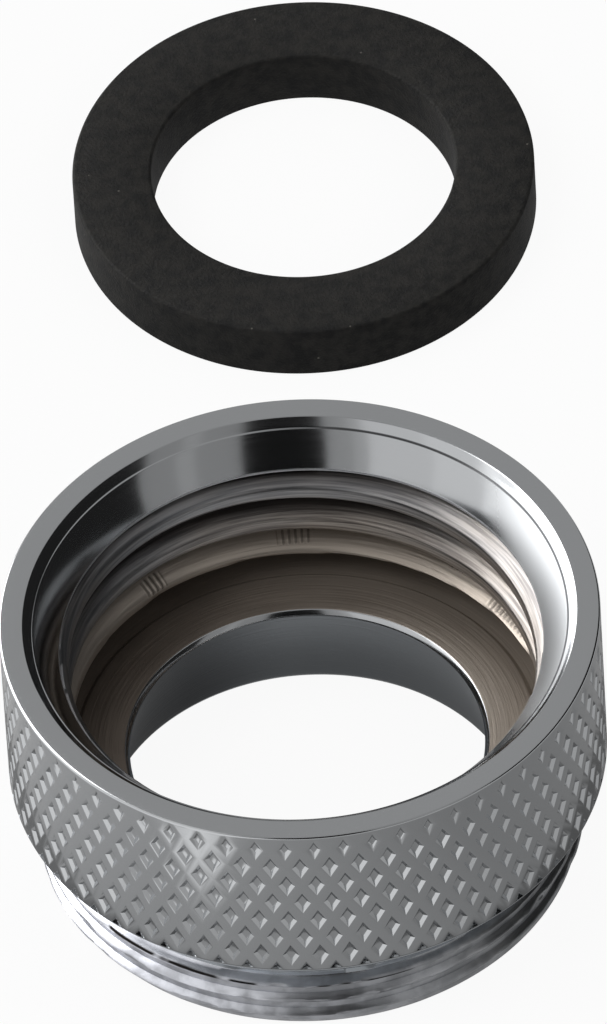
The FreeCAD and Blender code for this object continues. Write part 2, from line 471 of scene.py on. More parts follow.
def joined(strips):
    """All strips in one mesh, merged where their end rings meet."""
    whole = bmesh.new()
    carrier = bpy.data.meshes.new("carrier")
    for strip in strips:
        strip.to_mesh(carrier)
        whole.from_mesh(carrier)
        strip.free()
    bpy.data.meshes.remove(carrier)
    bmesh.ops.remove_doubles(whole, verts=whole.verts[:], dist=MERGE_DISTANCE)
    return whole


def open_edges(bm):
    """The edges that have a face on one side only."""
    return [edge for edge in bm.edges if edge.is_boundary]


body_skin = joined([mouth_strip, female_sheet, bore_strip, male_sheet, neck_strip, knurl_sheet])
print("open edges before bridging", len(open_edges(body_skin)))
for level in (STRIP_END_HEIGHT, SHOULDER_HEIGHT + BEVEL_HEIGHT):
    near = [edge for edge in open_edges(body_skin) if abs(edge.verts[0].co.z - level) < RING_REACH]
    bmesh.ops.bridge_loops(body_skin, edges=near)
bmesh.ops.recalc_face_normals(body_skin, faces=body_skin.faces[:])
print("body", len(body_skin.faces), "faces,", len(open_edges(body_skin)), "open edges")
print("body volume", round(body_skin.calc_volume(signed=True)), "mm3")

# %% [markdown]
# ### Crisp corners and the finished piece
#
# Smooth shading blends the light over every edge, which suits the lathe surfaces but washes out corners
# that a tool leaves sharp. Those edges are marked sharp by their angle. The pits of the knurl get a smaller
# angle, because their walls are so narrow that smooth shading would hide them. A Weighted Normal modifier
# then keeps the large faces flat right up to the broken edges.

# %% Keep the unbroken corners crisp
CREASE_ANGLE = math.radians(35)
PIT_CREASE_ANGLE = math.radians(20)
PIT_REACH = 0.3


def is_crease(edge):
    """Whether an edge is a corner that stays sharp; in the knurl even flatter ones do."""
    angle = edge.calc_face_angle(0)
    radii = [vert.co.xy.length for vert in edge.verts]
    heights = [vert.co.z for vert in edge.verts]
    in_knurl = KNURL_BOTTOM < max(heights) < KNURL_TOP and min(radii) > GRIP_RADIUS - PIT_REACH
    return angle > (PIT_CREASE_ANGLE if in_knurl else CREASE_ANGLE)


creases = [edge for edge in body_skin.edges if is_crease(edge)]
for edge in creases:
    edge.smooth = False
print("crisp edges", len(creases))


# %% Make the body's object
def finished_object(bm, name, node):
    """Turn a mesh made in millimetres into the visible piece that stands for one CAD node."""
    bmesh.ops.scale(bm, vec=(MM, MM, MM), verts=bm.verts[:])
    for face in bm.faces:
        face.smooth = True
    mesh = bpy.data.meshes.new(name)
    bm.to_mesh(mesh)
    bm.free()
    piece = bpy.data.objects.new(name, mesh)
    bpy.context.collection.objects.link(piece)
    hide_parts(node)
    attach(piece, "root")
    return piece


turned_body = finished_object(body_skin, "turned_body", "reducer_body")
turned_body.modifiers.new("weighted normals", "WEIGHTED_NORMAL").keep_sharp = True
print(turned_body.name, len(turned_body.data.polygons))

# %% [markdown]
# ## The rubber washer
#
# The washer is punched from moulded sheet, so its section is a rectangle with slightly rounded edges. The
# outline starts and ends halfway up the wall of the hole, and merging its two end rings closes it. A hole
# cut from a cylinder would do too, but a spun outline has even faces and its edges are rounded beforehand.

# %% Washer
WASHER_EDGE = 0.14
WASHER_HOLE_RADIUS = 6.25
washer_radius = (washer_high.x - washer_low.x) / 2
washer_height = washer_high.z - washer_low.z
washer_centre = (washer_low + washer_high) / 2
washer_centre.z = 0
washer_skin = turned_strip(
    [
        (WASHER_HOLE_RADIUS, washer_height / 2, 0),
        (WASHER_HOLE_RADIUS, 0, WASHER_EDGE),
        (washer_radius, 0, WASHER_EDGE),
        (washer_radius, washer_height, WASHER_EDGE),
        (WASHER_HOLE_RADIUS, washer_height, WASHER_EDGE),
        (WASHER_HOLE_RADIUS, washer_height / 2, 0),
    ]
)
bmesh.ops.remove_doubles(washer_skin, verts=washer_skin.verts[:], dist=MERGE_DISTANCE)
bmesh.ops.translate(washer_skin, vec=washer_centre, verts=washer_skin.verts[:])
bmesh.ops.recalc_face_normals(washer_skin, faces=washer_skin.faces[:])
print("washer", len(washer_skin.faces), "faces,", len(open_edges(washer_skin)), "open edges")
print("washer volume", round(washer_skin.calc_volume(signed=True)), "mm3")
rubber_washer = finished_object(washer_skin, "rubber_washer", "sealing_washer")
rubber_washer.modifiers.new("weighted normals", "WEIGHTED_NORMAL").keep_sharp = True
print(rubber_washer.name, len(rubber_washer.data.polygons))

# %% [markdown]
# ## Finishes
#
# Both finishes are built from shader nodes that read Object coordinates, so a mark stays where it is on the
# piece. One function turns a colour as it is picked on screen into the linear numbers that the shaders
# need, and one adds a node. The others put together what the finishes ask all the time: is this place
# beyond an edge, is it inside a band, and which colour or number holds there?

# %% Helpers for nodes and colours
def linear(hex_colour):
    """An sRGB hex colour as linear RGBA."""
    channels = [int(hex_colour[place:place + 2], 16) / 255 for place in (1, 3, 5)]
    return (*[c / 12.92 if c <= 0.04045 else ((c + 0.055) / 1.055) ** 2.4 for c in channels], 1)


def add(tree, kind, settings=None, inputs=None, output=0):
    """Add one node with its settings and give one output; an input is a value or the socket that feeds it."""
    node = tree.nodes.new(kind)
    for name, value in (settings or {}).items():
        setattr(node, name, value)
    for place, value in (inputs or {}).items():
        if isinstance(value, bpy.types.NodeSocket):
            tree.links.new(value, node.inputs[place])
        else:
            node.inputs[place].default_value = value
    return node.outputs[output]


def empty_tree(owner):
    """The node tree of a material or a world, without the nodes that it starts with."""
    owner.use_nodes = True
    owner.node_tree.nodes.clear()
    return owner.node_tree


def finish_with(tree, output, shader):
    """Put the last node in: the output that shows a shader."""
    end = tree.nodes.new(output)
    tree.links.new(shader, end.inputs["Surface"])


def beyond(tree, value, edge, softness):
    """0 below an edge and 1 above it, with a smooth step between; the edge may be a socket."""
    shifted = add(tree, "ShaderNodeMath", {"operation": "SUBTRACT"}, {0: value, 1: edge})
    return add(tree, "ShaderNodeMapRange", {"interpolation_type": "SMOOTHSTEP"}, {
        "Value": shifted, "From Min": -softness / 2, "From Max": softness / 2,
    })


def within(tree, value, low, high, softness):
    """1 between two edges and 0 outside them."""
    over = beyond(tree, value, low, softness)
    past = beyond(tree, value, high, softness)
    return add(tree, "ShaderNodeMath", {"operation": "SUBTRACT", "use_clamp": True}, {0: over, 1: past})


def overlap(tree, mask, *others):
    """The place where several masks overlap; a plain number among them thins it out."""
    for other in others:
        mask = add(tree, "ShaderNodeMath", {"operation": "MULTIPLY"}, {0: mask, 1: other})
    return mask


def layered(tree, colour, layers):
    """A colour with other colours laid over it one after the other, each by its mask."""
    for mask, over in layers:
        colour = add(tree, "ShaderNodeMix", {"data_type": "RGBA"}, {0: mask, 6: colour, 7: over}, 2)
    return colour


def varied(tree, value, zones):
    """A number with another number put in its place zone by zone."""
    for mask, other in zones:
        value = add(tree, "ShaderNodeMix", {"data_type": "FLOAT"}, {0: mask, 2: value, 3: other})
    return value


# %% [markdown]
# ### Chromium on nickel on brass
#
# Electroplated chromium over bright nickel is a hard mirror with a faint blue. The current reaches the
# outside and the rim best, so they are bright. It hardly reaches down into the socket, where the chromium
# thins out: there the warm nickel shows, stained brown by flux and handling, and the cutter's marks were
# never polished away. The bore is duller still. The piece could be cut into several materials, but plating
# changes gradually. So there is one finish, which asks for each place how far it is from the axis, at what
# angle and how high, in millimetres.

# %% Where a point of the turned body lies
chrome = bpy.data.materials.new("chrome_plated_turned_brass")
tree = empty_tree(chrome)
coordinates = add(tree, "ShaderNodeTexCoord").node.outputs["Object"]
point = add(tree, "ShaderNodeVectorMath", {"operation": "SCALE"}, {0: coordinates, "Scale": 1 / MM})
across, back, height = add(tree, "ShaderNodeSeparateXYZ", {}, {0: point}).node.outputs
flat = add(tree, "ShaderNodeVectorMath", {"operation": "MULTIPLY"}, {0: point, 1: (1, 1, 0)})
radius = add(tree, "ShaderNodeVectorMath", {"operation": "LENGTH"}, {0: flat}).node.outputs["Value"]
turn = add(tree, "ShaderNodeMath", {"operation": "ARCTAN2"}, {0: back, 1: across})
turned_place = add(tree, "ShaderNodeCombineXYZ", {}, {0: radius, 1: turn, 2: height})
print(chrome.name, "knows across, back, height, radius and turn of each point")

# %% [markdown]
# ### Zones
#
# The plating differs by zone: the socket's wall, the seat, the bore, the cone, the lip, the step above the
# cone, the spigot and the neck. A zone could be painted on the faces, but its border would then follow the
# mesh. Here it is a mask of two bands, one of heights and one of distances from the axis, with a narrow
# soft border.

# %% Borders and margins of the zones, in millimetres
EDGE_BORDER = 0.03
SEAT_BORDER = 0.04
CRISP_BORDER = 0.05
BORE_BORDER = 0.06
SOFT_BORDER = 0.1
FADING_BORDER = 0.3
ZONE_MARGIN = 0.3
END_MARGIN = 0.1
SEAT_FILM = 0.06
LIP_BAND = (-0.04, 0.1)
STEP_BAND = (-0.02, 0.03)
print("borders from", EDGE_BORDER, "to", FADING_BORDER, "mm wide")

# %% Masks of the zones inside
below_seat = SEAT_HEIGHT - ZONE_MARGIN
inner = add(tree, "ShaderNodeMath", {"operation": "SUBTRACT"}, {
    0: 1.0, 1: beyond(tree, radius, RELIEF_RADIUS + ZONE_MARGIN, SOFT_BORDER),
})
past_chamfer = beyond(tree, radius, BORE_RADIUS + BORE_CHAMFER + 0.01, EDGE_BORDER)
socket_zone = overlap(tree, inner, past_chamfer, within(tree, height, below_seat, LIP_HEIGHT, FADING_BORDER))
seat_zone = overlap(
    tree, inner, past_chamfer, within(tree, height, below_seat, SEAT_HEIGHT + SEAT_FILM, SEAT_BORDER)
)
bore_zone = overlap(
    tree,
    within(tree, height, END_MARGIN, SEAT_HEIGHT - BORE_CHAMFER, BORE_BORDER),
    within(tree, radius, 0, BORE_END_RADIUS + CRISP_BORDER, CRISP_BORDER),
)
cone_zone = overlap(
    tree, inner, within(tree, height, LIP_HEIGHT + CRISP_BORDER, CONE_TOP_HEIGHT + 0.2, SOFT_BORDER)
)
lip_low, lip_high = [LIP_HEIGHT + reach for reach in LIP_BAND]
step_low, step_high = [CONE_TOP_HEIGHT + reach for reach in STEP_BAND]
lip_zone = overlap(tree, inner, within(tree, height, lip_low, lip_high, CRISP_BORDER))
step_zone = overlap(tree, inner, within(tree, height, step_low, step_high, EDGE_BORDER))
print("zones inside masked with", len(tree.nodes), "nodes")

# %% Masks of the zones outside
spigot_zone = overlap(
    tree,
    within(tree, height, -1, NECK_RAMP_TOP, SOFT_BORDER),
    beyond(tree, radius, BORE_END_RADIUS, SOFT_BORDER),
)
neck_zone = overlap(
    tree,
    within(tree, height, NECK_RAMP_TOP, SHOULDER_HEIGHT + BEVEL_HEIGHT, SOFT_BORDER),
    beyond(tree, radius, NECK_RADIUS - ZONE_MARGIN, SOFT_BORDER),
)
print("zones masked with", len(tree.nodes), "nodes")

# %% Masks from left to right: they spread the stain, and they paint light and shade on one side
SIDE_MASK_REACH = 8
rightness = add(tree, "ShaderNodeMapRange", {}, {
    "Value": across, "From Min": -SIDE_MASK_REACH, "From Max": SIDE_MASK_REACH,
})
leftness = add(tree, "ShaderNodeMath", {"operation": "SUBTRACT"}, {0: 1.0, 1: rightness})
# painted shade: this mask paints the bore darker on its left side
left_painted_shade = beyond(tree, leftness, 0.66, 0.3)
far_right = beyond(tree, across, 8.2, 2.0)
print("wear runs over", 2 * SIDE_MASK_REACH, "mm from left to right")

# %% [markdown]
# ### Cutter marks, stains, and dirt and painted shade in the grooves
#
# A cutter that feeds a ninth of a millimetre per turn leaves fine marks round the wall. They are noise that
# is drawn out along the turn: a few millimetres long, a ninth of a millimetre wide. The same noise on a
# much larger scale makes the clouds of the brown stain, which grows towards the seat and to the right. The
# grooves are darkened, most in the upper ones and less on the right: dirt, with painted shade in their
# depths. A ring-shaped wave texture would be simpler, but real marks start and stop.

# %% Stains, cutter marks, and dirt and painted shade in the grooves
CUTTER_FEED = 1 / 9
MARK_LENGTH = 4.23
STAIN_SIZE = 1.67
STAIN_LENGTH = 5.82
STAIN_HEIGHT = 2.0
mark_scale = (1 / CUTTER_FEED, FEMALE_CREST / MARK_LENGTH, 1 / CUTTER_FEED)
stain_scale = (1 / STAIN_SIZE, FEMALE_CREST / STAIN_LENGTH, 1 / STAIN_HEIGHT)
mark_place = add(tree, "ShaderNodeVectorMath", {"operation": "MULTIPLY"}, {0: turned_place, 1: mark_scale})
cutter_marks = add(tree, "ShaderNodeTexNoise", {}, {"Vector": mark_place, "Scale": 1.0, "Detail": 5.0})
streaks = beyond(tree, cutter_marks, 0.5, 0.35)
stain_place = add(tree, "ShaderNodeVectorMath", {"operation": "MULTIPLY"}, {0: turned_place, 1: stain_scale})
clouds = add(tree, "ShaderNodeTexNoise", {}, {"Vector": stain_place, "Scale": 1.0, "Detail": 4.0})
lowness = add(tree, "ShaderNodeMapRange", {}, {
    "Value": height, "From Min": LIP_HEIGHT - 0.8, "From Max": SEAT_HEIGHT + 1.0,
})
stain = add(tree, "ShaderNodeMath", {"operation": "MULTIPLY_ADD"}, {0: rightness, 1: 0.35, 2: -0.35})
stain = add(tree, "ShaderNodeMath", {"operation": "MULTIPLY_ADD"}, {0: lowness, 1: 0.55, 2: stain})
stain = add(tree, "ShaderNodeMath", {"operation": "ADD", "use_clamp": True}, {0: stain, 1: clouds})
# darker in the depths of the grooves: dirt, with painted shade
groove_depth = add(tree, "ShaderNodeMapRange", {}, {
    "Value": radius, "From Min": FEMALE_CREST + 0.05, "From Max": FEMALE_CREST + 0.6,
})
upper_grooves = beyond(tree, height, THREAD_END_HEIGHT + 1.45, 0.6)
dirt_and_shade_share = add(tree, "ShaderNodeMath", {"operation": "MULTIPLY_ADD"}, {0: upper_grooves, 1: 0.5, 2: 0.3})
groove_dirt_and_shade = overlap(tree, groove_depth, beyond(tree, leftness, 0.2, 0.4), dirt_and_shade_share)
print("cutter marks", round(CUTTER_FEED, 2), "mm apart, stains", STAIN_LENGTH, "mm long")

# %% [markdown]
# ### Chatter
#
# Where the tap grabbed, it left short upright marks beside each other in the lowest groove. They are too
# shallow for the mesh. A sine of the angle makes the ridges, and a mask of an angle and a height shows it
# in four places only. It shades the colour and lifts the bump, since a bump alone would hardly show in the
# dim socket.

# %% Chatter marks of the tap, beside each other along the lowest groove
chatter_places = [
    # middle of the group, as an angle and a height, then its half length in radians and half height
    (math.radians(90), 6.75, 0.07, 0.15),
    (math.radians(127), 6.75, 0.05, 0.2),
    (math.radians(49), 6.72, 0.05, 0.15),
    (math.radians(30), 6.6, 0.13, 0.3),
]
CHATTER_SPACING = 0.275 / RELIEF_RADIUS
phase = add(tree, "ShaderNodeMath", {"operation": "MULTIPLY"}, {0: turn, 1: math.tau / CHATTER_SPACING})
ripple = add(tree, "ShaderNodeMath", {"operation": "SINE"}, {0: phase})
chatter = 0.0
for middle, level, half_length, half_height in chatter_places:
    group = overlap(
        tree,
        within(tree, turn, middle - half_length, middle + half_length, half_length / 2),
        within(tree, height, level - half_height, level + half_height, half_height / 2),
    )
    chatter = add(tree, "ShaderNodeMath", {"operation": "ADD"}, {0: group, 1: chatter})
chatter = overlap(tree, chatter, ripple, socket_zone)
chatter_shade = overlap(tree, beyond(tree, chatter, 0.3, 0.5), 0.5)
print("chatter in", len(chatter_places), "places,", round(CHATTER_SPACING * RELIEF_RADIUS, 3), "mm apart")

# %% [markdown]
# ### Marks on the spigot and painted shade above the cone
#
# Where the fine thread runs out, short dark dashes are drawn. The worn crests carry grey smudges, and a
# dark line of painted shade sits in the step above the cone, on the right side only. The dashes and the
# smudges are masks multiplied by noise, the line in the step a thin mask alone. The height at which the
# dashes lie wanders a little, because a dead straight line looks drawn.

# %% Dark dashes, smudges and the painted shade in the step
DASH_LENGTH = 2.11
DASH_HEIGHT = 2.0
DASH_WANDER = 0.16
SMUDGE_SIZE = 1.11
dash_scale = (0, NECK_RADIUS / DASH_LENGTH, 1 / DASH_HEIGHT)
dash_height = add(tree, "ShaderNodeMath", {"operation": "MULTIPLY_ADD"}, {
    0: clouds, 1: DASH_WANDER, 2: height,
})
run_out = within(tree, dash_height, MALE_TOP + 0.02, MALE_TOP + 0.12, 0.05)
dash_place = add(tree, "ShaderNodeVectorMath", {"operation": "MULTIPLY"}, {0: turned_place, 1: dash_scale})
dash_noise = add(tree, "ShaderNodeTexNoise", {}, {"Vector": dash_place, "Scale": 1.0, "Detail": 2.0})
outside_neck = beyond(tree, radius, NECK_RADIUS - 0.2, SOFT_BORDER)
dashes = overlap(tree, run_out, beyond(tree, dash_noise, 0.5, 0.08), outside_neck)
smudge_noise = add(tree, "ShaderNodeTexNoise", {}, {"Vector": point, "Scale": 1 / SMUDGE_SIZE, "Detail": 4.0})
smudges = overlap(tree, beyond(tree, smudge_noise, 0.5, 0.25), spigot_zone, 0.45)
# painted shade: a dark line in the step above the cone, on the right side only
step_painted_shade = overlap(tree, step_zone, beyond(tree, rightness, 0.5, 0.3), 0.85)
print("dashes", DASH_LENGTH, "mm long, smudges", SMUDGE_SIZE, "mm across")

# %% [markdown]
# ### Colours of the plating
#
# The colours are mostly what the metal gives back: pale blue-grey for chromium, warmer for nickel, brown
# where it is stained. Some layers are painted light and shade instead: the seat painted lighter on the
# right, the bore painted darker on the left, the spigot painted lighter on the left, the grooves darkened by
# dirt and painted shade, and painted shade in the step above the cone. Each zone gets its own by layering
# masks over a base, from the widest zone to the narrowest, as tarnish lies over metal. The stained metal is
# slightly less metallic, since a film of oxide covers it.

# %% Colours, zone by zone
lowest_band = within(tree, height, SEAT_HEIGHT + 0.1, THREAD_END_HEIGHT + 1.1, 0.3)
stain_colour = layered(tree, linear("#695F56"), [(streaks, linear("#A79D92"))])
socket_colour = layered(tree, linear("#7C7F84"), [
    (streaks, linear("#A0A2A6")),
    (stain, stain_colour),
    # dirt and painted shade in the grooves
    (groove_dirt_and_shade, linear("#3A3431")),
    (overlap(tree, lowest_band, 0.8), linear("#B0A69B")),
    (chatter_shade, linear("#2E2926")),
])
seat_colour = layered(tree, linear("#5C534B"), [
    (clouds, linear("#7A7067")),
    # painted light: the seat lighter towards the right
    (overlap(tree, rightness, 0.8), linear("#A89E93")),
])
# painted shade: the bore darker on the left
bore_colour = layered(tree, linear("#8B8F93"), [(left_painted_shade, linear("#4C4F52"))])
colour = layered(tree, linear("#B9BBBD"), [
    (socket_zone, socket_colour),
    (seat_zone, seat_colour),
    (bore_zone, bore_colour),
    (neck_zone, linear("#C2C8CE")),
    # painted light: the spigot lighter on the left
    (overlap(tree, spigot_zone, leftness), linear("#EEF0F8")),
    (smudges, linear("#717377")),
    (dashes, linear("#1E1C1B")),
    (lip_zone, linear("#D6D8DC")),
    # painted shade in the step above the cone, right side only
    (step_painted_shade, linear("#2B2B2D")),
])
print("colours layered with", len(tree.nodes), "nodes")

# %% [markdown]
# ### Gloss of the plating
#
# A mirror finish is told by its roughness. Polished chromium has almost none, the unpolished socket and the
# bore have more, and the lip is brushed dull. The cutter's marks and the chatter also lift the surface, so
# a bump bends the reflections there. It goes only a few hundredths of a millimetre deep, like the real
# marks.

# %% Roughness, bump and the shader
MARK_DEPTH = 0.03
dullness = varied(tree, 0.09, [
    (overlap(tree, cone_zone, far_right), 0.38),
    (socket_zone, 0.28),
    (seat_zone, 0.36),
    (bore_zone, 0.38),
    (spigot_zone, 0.26),
    (lip_zone, 0.4),
])
roughness = add(tree, "ShaderNodeMath", {"operation": "MULTIPLY_ADD"}, {
    0: cutter_marks, 1: 0.08, 2: dullness,
})
bare_metal = add(tree, "ShaderNodeMath", {"operation": "MULTIPLY_ADD"}, {
    0: overlap(tree, socket_zone, stain), 1: -0.35, 2: 1.0,
})
unpolished = add(tree, "ShaderNodeMath", {"operation": "MAXIMUM"}, {0: socket_zone, 1: bore_zone})
ring_height = add(tree, "ShaderNodeMath", {"operation": "MULTIPLY"}, {0: cutter_marks, 1: unpolished})
relief_height = add(tree, "ShaderNodeMath", {"operation": "MULTIPLY_ADD"}, {
    0: chatter, 1: 0.6, 2: ring_height,
})
normal = add(tree, "ShaderNodeBump", {}, {
    "Strength": 0.6, "Distance": MARK_DEPTH * MM, "Height": relief_height,
})
shader = add(tree, "ShaderNodeBsdfPrincipled", {}, {
    "Base Color": colour, "Metallic": bare_metal, "Roughness": roughness, "Normal": normal,
})
finish_with(tree, "ShaderNodeOutputMaterial", shader)
turned_body.data.materials.append(chrome)
print(chrome.name, len(tree.nodes), "nodes")

# %% [markdown]
# ### Black rubber
#
# Nitrile rubber filled with carbon black, moulded as sheet and dusted with talc so that it does not stick.
# It is nearly black and quite matt, with a fine leathery grain, paler where fingers rubbed the talc in, and
# with a few bright grains of talc left. Real grain is finer than a pixel, so it is drawn coarse enough to
# show. Noise at two sizes makes the grain and the patches, and a cell texture the loose grains of talc.

# %% Rubber finish
GRAIN_SIZE = 1 / 9
GRAIN_DEPTH = 0.06
PATCH_SIZE = 0.625
TALC_SPACING = 1.25
TALC_REACH = 0.035
rubber = bpy.data.materials.new("moulded_black_nitrile_rubber")
tree = empty_tree(rubber)
coordinates = add(tree, "ShaderNodeTexCoord").node.outputs["Object"]
point = add(tree, "ShaderNodeVectorMath", {"operation": "SCALE"}, {0: coordinates, "Scale": 1 / MM})
fine_grain = add(tree, "ShaderNodeTexNoise", {}, {"Vector": point, "Scale": 1 / GRAIN_SIZE, "Detail": 4.0})
patches = add(tree, "ShaderNodeTexNoise", {}, {
    "Vector": point, "Scale": 1 / PATCH_SIZE, "Detail": 5.0, "Roughness": 0.65,
})
rubbed = beyond(tree, patches, 0.5, 0.3)
speck_distance = add(tree, "ShaderNodeTexVoronoi", {}, {"Vector": point, "Scale": 1 / TALC_SPACING})
specks = add(tree, "ShaderNodeMath", {"operation": "LESS_THAN"}, {0: speck_distance, 1: TALC_REACH})
rubber_colour = layered(tree, linear("#121212"), [
    (rubbed, linear("#22211F")),
    (overlap(tree, specks, 0.5), linear("#77746E")),
])
rubber_relief = add(tree, "ShaderNodeBump", {}, {
    "Strength": 0.7, "Distance": GRAIN_DEPTH * MM, "Height": fine_grain,
})
rubber_roughness = add(tree, "ShaderNodeMath", {"operation": "MULTIPLY_ADD"}, {
    0: fine_grain, 1: 0.15, 2: 0.62,
})
shader = add(tree, "ShaderNodeBsdfPrincipled", {}, {
    "Base Color": rubber_colour, "Roughness": rubber_roughness, "Specular IOR Level": 0.2,
    "Normal": rubber_relief,
})
finish_with(tree, "ShaderNodeOutputMaterial", shader)
rubber_washer.data.materials.append(rubber)
print(rubber.name, len(tree.nodes), "nodes")

# %% [markdown]
# ## Studio
#
# A mirror shows its surroundings, so most of the look of a chromed part is what stands round it. Here that
# is a tent that only reflections can see: a grey room with a large bright window on the left, a dark shape
# in front and a dark wall on the right. A photographed room could be wrapped round the scene instead, but a
# tent of plain panels needs no picture, and each panel can be moved until its reflection lies right.

# %% Tent, seen by reflections only
TENT_RADIUS = 0.5
TENT_SOFTNESS = 1.5
ROOM_LEVEL = 0.42
tent_panels = [
    # azimuth from and to, elevation from and to, radiance; azimuth counts from the camera's side towards +X
    (120, 240, 20, 90, 0.47),
    (19, 62, -20, 60, 0.36),
    (38, 46, -20, 60, 0.46),
    (-15, 19, -20, 60, 0.01),
    (62, 150, -20, 50, 0.02),
    (-26, -15, -20, 60, 0.43),
    (-32, -26, -20, 60, 0.54),
    (-58, -32, -20, 60, 0.84),
    (-82, -58, -20, 60, 0.96),
    (-98, -82, -20, 60, 1.6),
    (-150, -98, -20, 60, 5.0),
]
tent_material = bpy.data.materials.new("studio_tent")
tree = empty_tree(tent_material)
position = add(tree, "ShaderNodeNewGeometry")
x, y, z = add(tree, "ShaderNodeSeparateXYZ", {}, {0: position}).node.outputs
forwards = add(tree, "ShaderNodeMath", {"operation": "MULTIPLY"}, {0: y, 1: -1})
bearing = add(tree, "ShaderNodeMath", {"operation": "ARCTAN2"}, {0: x, 1: forwards})
azimuth = add(tree, "ShaderNodeMath", {"operation": "DEGREES"}, {0: bearing})
share_up = add(tree, "ShaderNodeMath", {"operation": "MULTIPLY"}, {0: z, 1: 1 / TENT_RADIUS})
rise = add(tree, "ShaderNodeMath", {"operation": "ARCSINE"}, {0: share_up})
elevation = add(tree, "ShaderNodeMath", {"operation": "DEGREES"}, {0: rise})
radiance = ROOM_LEVEL
for az_from, az_to, el_from, el_to, level in tent_panels:
    offset = add(tree, "ShaderNodeMath", {"operation": "SUBTRACT"}, {0: azimuth, 1: (az_from + az_to) / 2})
    wrapped = add(tree, "ShaderNodeMath", {"operation": "WRAP"}, {0: offset, 1: 180, 2: -180})
    half_width = (az_to - az_from) / 2
    inside = overlap(
        tree,
        within(tree, wrapped, -half_width, half_width, TENT_SOFTNESS),
        within(tree, elevation, el_from, el_to, TENT_SOFTNESS),
    )
    radiance = add(tree, "ShaderNodeMix", {"data_type": "FLOAT"}, {0: inside, 2: radiance, 3: level})
finish_with(tree, "ShaderNodeOutputMaterial", add(tree, "ShaderNodeEmission", {}, {"Strength": radiance}))
print("tent of", len(tent_panels), "panels,", len(tree.nodes), "nodes")


# %% Put the tent round the object
def staged(name, bm, material):
    """Something that belongs to the studio and not to the object."""
    mesh = bpy.data.meshes.new(name)
    bm.to_mesh(mesh)
    bm.free()
    mesh.materials.append(material)
    prop = bpy.data.objects.new(name, mesh)
    bpy.context.collection.objects.link(prop)
    return prop


tent_bm = bmesh.new()
bmesh.ops.create_uvsphere(tent_bm, u_segments=96, v_segments=48, radius=TENT_RADIUS)
tent = staged("studio_tent", tent_bm, tent_material)
for ray in ("camera", "diffuse", "shadow", "transmission", "volume_scatter"):
    setattr(tent, f"visible_{ray}", False)
print(tent.name, "radius", TENT_RADIUS, "m")

# %% [markdown]
# ### Floor
#
# The pale floor renders white to the camera and keeps the object's shadow. In the mirror it is a grey table
# top: lighter towards the window and where light falls through the bore, darker in a ring under the grip,
# and beyond the table's left edge a bright window sill. It could be two floors, one to see and one to
# mirror. Light Path tells the two uses apart, so that one floor does both.

# %% What the floor shows in the mirror
TABLE_EDGE_LEFT = 0.0235
BORE_LIGHT_RADIUS = 0.0059
GRIP_SHADE_FROM = 0.0137
GRIP_SHADE_TO = 0.0158
TABLE_REACH = 0.032
SILL_PATCH_LEFT = 0.01
SILL_PATCH_FRONT = 0.017
SILL_LEVEL = 1.15
floor_material = bpy.data.materials.new("pale_floor")
tree = empty_tree(floor_material)
matte = add(tree, "ShaderNodeBsdfDiffuse", {}, {"Color": (0.8, 0.8, 0.8, 1)})
coordinates = add(tree, "ShaderNodeTexCoord").node.outputs["Object"]
x, y, _ = add(tree, "ShaderNodeSeparateXYZ", {}, {0: coordinates}).node.outputs
leftwards = add(tree, "ShaderNodeMath", {"operation": "MULTIPLY"}, {0: x, 1: -1})
forwards = add(tree, "ShaderNodeMath", {"operation": "MULTIPLY"}, {0: y, 1: -1})
sill_patch = overlap(
    tree,
    beyond(tree, leftwards, SILL_PATCH_LEFT, 0.004),
    beyond(tree, forwards, SILL_PATCH_FRONT, 0.003),
)
away = add(tree, "ShaderNodeVectorMath", {"operation": "LENGTH"}, {0: coordinates}).node.outputs["Value"]
table_level = add(tree, "ShaderNodeMapRange", {}, {
    "Value": x, "From Min": -0.02, "From Max": 0.015, "To Min": 0.5, "To Max": 0.27,
})
grip_shade = add(tree, "ShaderNodeMath", {"operation": "MULTIPLY"}, {0: table_level, 1: 0.35})
mirror_level = varied(tree, 0.65, [
    (beyond(tree, away, BORE_LIGHT_RADIUS, 0.0012), 0.2),
    (beyond(tree, away, BORE_END_RADIUS * MM, 0.0005), table_level),
    (within(tree, away, GRIP_SHADE_FROM, GRIP_SHADE_TO, 0.001), grip_shade),
    (beyond(tree, away, TABLE_REACH, 0.012), 0.6),
    (beyond(tree, leftwards, TABLE_EDGE_LEFT, 0.005), SILL_LEVEL),
    (sill_patch, SILL_LEVEL),
])
print(floor_material.name, "shows a table", TABLE_REACH, "m round")

# %% What the floor shows to the camera
SEEN_WHITE = 0.93
SEEN_IN_MIRROR = 0.9
light_path = add(tree, "ShaderNodeLightPath").node
mirrored = add(tree, "ShaderNodeMath", {"operation": "ADD"}, {
    0: light_path.outputs["Is Glossy Ray"], 1: light_path.outputs["Is Transmission Ray"],
})
seen_share = add(tree, "ShaderNodeMath", {"operation": "MULTIPLY"}, {
    0: light_path.outputs["Is Camera Ray"], 1: SEEN_WHITE,
})
share = add(tree, "ShaderNodeMath", {"operation": "MULTIPLY_ADD"}, {
    0: mirrored, 1: SEEN_IN_MIRROR, 2: seen_share,
})
level = add(tree, "ShaderNodeMix", {"data_type": "FLOAT"}, {0: mirrored, 2: 1.0, 3: mirror_level})
glow = add(tree, "ShaderNodeEmission", {}, {"Strength": level})
floor_shader = add(tree, "ShaderNodeMixShader", {}, {0: share, 1: matte, 2: glow})
finish_with(tree, "ShaderNodeOutputMaterial", floor_shader)
floor_bm = bmesh.new()
bmesh.ops.create_circle(floor_bm, cap_ends=True, segments=96, radius=TENT_RADIUS * 0.98)
staged("floor", floor_bm, floor_material)
